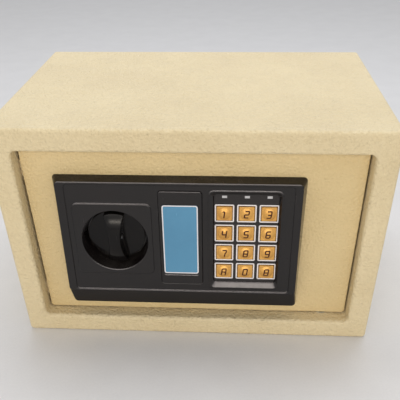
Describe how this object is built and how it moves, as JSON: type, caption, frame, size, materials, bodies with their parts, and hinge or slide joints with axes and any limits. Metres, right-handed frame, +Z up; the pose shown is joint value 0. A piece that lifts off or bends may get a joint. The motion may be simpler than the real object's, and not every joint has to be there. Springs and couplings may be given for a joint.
{
  "type": "electronic safe",
  "caption": "Small steel box safe with a keypad and turn knob on a hinged door, round sliding bolts and a hidden override lock.",
  "frame": {"origin": "centre of the case's base, on the surface it stands on", "axes": "+X to the right seen from the front, +Y towards the back, +Z up; the door faces -Y"},
  "size_m": [0.31, 0.2062, 0.2],
  "materials": {
    "case_paint": "textured powder coat",
    "door_paint": "textured powder coat",
    "black_moulding": "fine satin",
    "knob_black": "glossy",
    "keypad_grey": "satin print",
    "key_gold": "satin gold lacquer",
    "label_blue": "satin film",
    "light_window": "clear, unlit",
    "zinc_steel": "bright zinc",
    "lock_brass": "turned",
    "copper_coil": "enamelled wire",
    "mat_felt": "felt",
    "key_rubber": "matte",
    "board_green": "lacquered",
    "white_plastic": "smooth",
    "reset_red": "glossy",
    "cell_jacket": "plain jacket",
    "lead_jacket": "smooth"
  },
  "bodies": {
    "case": {"front_frame": "case_paint", "case_wrap": "case_paint", "back_panel": "case_paint", "floor_mat": "mat_felt", "door_stops": "case_paint", "hinge_bushes": "lock_brass", "hinge_washer": "zinc_steel"},
    "door": {"door_plate": "door_paint", "hinge_brackets": "door_paint", "hinge_pins": "zinc_steel", "bolt_guide": "zinc_steel", "carriage_studs": "zinc_steel", "console": "black_moulding", "console_screws": "zinc_steel", "keypad_plate": "keypad_grey", "key_mat": "key_rubber", "keypad_board": "board_green", "status_lights": "light_window", "knob_bush": "white_plastic", "lock_cylinder": "lock_brass", "lock_nut": "zinc_steel", "solenoid_frame": "zinc_steel", "solenoid_coil": "copper_coil", "solenoid_fixings": "zinc_steel", "lock_cover": "case_paint", "cover_posts": "zinc_steel", "cover_screws": "zinc_steel", "battery_box": "black_moulding", "batteries": "cell_jacket", "battery_contacts": "zinc_steel", "reset_switch": "black_moulding", "grommet": "key_rubber", "wire_leads": "lead_jacket"},
    "knob": {"knob": "knob_black", "knob_shaft": "zinc_steel", "crank_arm": "zinc_steel"},
    "bolts": {"bolt_carriage": "zinc_steel", "bolt_upper": "zinc_steel", "bolt_lower": "zinc_steel"},
    "plunger": {"plunger": "zinc_steel", "plunger_spring": "zinc_steel"},
    "key_plug": {"key_plug": "lock_brass", "lock_cam": "zinc_steel", "cam_screw": "zinc_steel"},
    "override_cover": {"override_cover": "black_moulding", "label": "label_blue"},
    "battery_lid": {"battery_lid": "black_moulding"},
    "reset_button": {"reset_button": "reset_red"},
    "key_1": {"key_1": "key_gold"},
    "key_2": {"key_2": "key_gold"},
    "key_3": {"key_3": "key_gold"},
    "key_4": {"key_4": "key_gold"},
    "key_5": {"key_5": "key_gold"},
    "key_6": {"key_6": "key_gold"},
    "key_7": {"key_7": "key_gold"},
    "key_8": {"key_8": "key_gold"},
    "key_9": {"key_9": "key_gold"},
    "key_0": {"key_0": "key_gold"},
    "key_a": {"key_a": "key_gold"},
    "key_b": {"key_b": "key_gold"}
  },
  "joints": [
    {"name": "door_hinge", "type": "hinge", "parent": "case", "child": "door", "pos_m": [0.11421, -0.081, 0.1], "axis": [0, 0, 1], "range_deg": [0, 100]},
    {"name": "knob_turn", "type": "hinge", "parent": "door", "child": "knob", "pos_m": [-0.0638, -0.09, 0.1038], "axis": [0, -1, 0], "range_deg": [0, 75]},
    {"name": "bolt_slide", "type": "slide", "parent": "door", "child": "bolts", "axis": [-1, 0, 0], "range_m": [0, 0.01339]},
    {"name": "plunger_slide", "type": "slide", "parent": "door", "child": "plunger", "axis": [0, 0, -1], "range_m": [0, 0.006], "deforming": ["plunger_spring"]},
    {"name": "override_turn", "type": "hinge", "parent": "door", "child": "key_plug", "pos_m": [-0.0093, -0.09, 0.099], "axis": [0, 1, 0], "range_deg": [0, 90]},
    {"name": "override_cover_pull", "type": "slide", "parent": "door", "child": "override_cover", "axis": [0, -0.9959, 0.0908], "range_m": [0, 0.02]},
    {"name": "battery_lid_pull", "type": "slide", "parent": "door", "child": "battery_lid", "axis": [0, 1, 0], "range_m": [0, 0.03]},
    {"name": "reset_press", "type": "slide", "parent": "door", "child": "reset_button", "axis": [0, -1, 0], "range_m": [0, 0.002], "stiffness_N_per_m": 400},
    {"name": "key_1_press", "type": "slide", "parent": "door", "child": "key_1", "axis": [0, 0.9959, -0.0908], "range_m": [0, 0.0008], "stiffness_N_per_m": 500},
    {"name": "key_2_press", "type": "slide", "parent": "door", "child": "key_2", "axis": [0, 0.9959, -0.0908], "range_m": [0, 0.0008], "stiffness_N_per_m": 500},
    {"name": "key_3_press", "type": "slide", "parent": "door", "child": "key_3", "axis": [0, 0.9959, -0.0908], "range_m": [0, 0.0008], "stiffness_N_per_m": 500},
    {"name": "key_4_press", "type": "slide", "parent": "door", "child": "key_4", "axis": [0, 0.9959, -0.0908], "range_m": [0, 0.0008], "stiffness_N_per_m": 500},
    {"name": "key_5_press", "type": "slide", "parent": "door", "child": "key_5", "axis": [0, 0.9959, -0.0908], "range_m": [0, 0.0008], "stiffness_N_per_m": 500},
    {"name": "key_6_press", "type": "slide", "parent": "door", "child": "key_6", "axis": [0, 0.9959, -0.0908], "range_m": [0, 0.0008], "stiffness_N_per_m": 500},
    {"name": "key_7_press", "type": "slide", "parent": "door", "child": "key_7", "axis": [0, 0.9959, -0.0908], "range_m": [0, 0.0008], "stiffness_N_per_m": 500},
    {"name": "key_8_press", "type": "slide", "parent": "door", "child": "key_8", "axis": [0, 0.9959, -0.0908], "range_m": [0, 0.0008], "stiffness_N_per_m": 500},
    {"name": "key_9_press", "type": "slide", "parent": "door", "child": "key_9", "axis": [0, 0.9959, -0.0908], "range_m": [0, 0.0008], "stiffness_N_per_m": 500},
    {"name": "key_0_press", "type": "slide", "parent": "door", "child": "key_0", "axis": [0, 0.9959, -0.0908], "range_m": [0, 0.0008], "stiffness_N_per_m": 500},
    {"name": "key_a_press", "type": "slide", "parent": "door", "child": "key_a", "axis": [0, 0.9959, -0.0908], "range_m": [0, 0.0008], "stiffness_N_per_m": 500},
    {"name": "key_b_press", "type": "slide", "parent": "door", "child": "key_b", "axis": [0, 0.9959, -0.0908], "range_m": [0, 0.0008], "stiffness_N_per_m": 500}
  ],
  "couplings": [
    {"joint": "knob_turn", "follows": "bolt_slide", "rad_per_m": 97.74},
    {"joint": "plunger_slide", "follows": "bolt_slide", "ratio": 0.448}
  ]
}
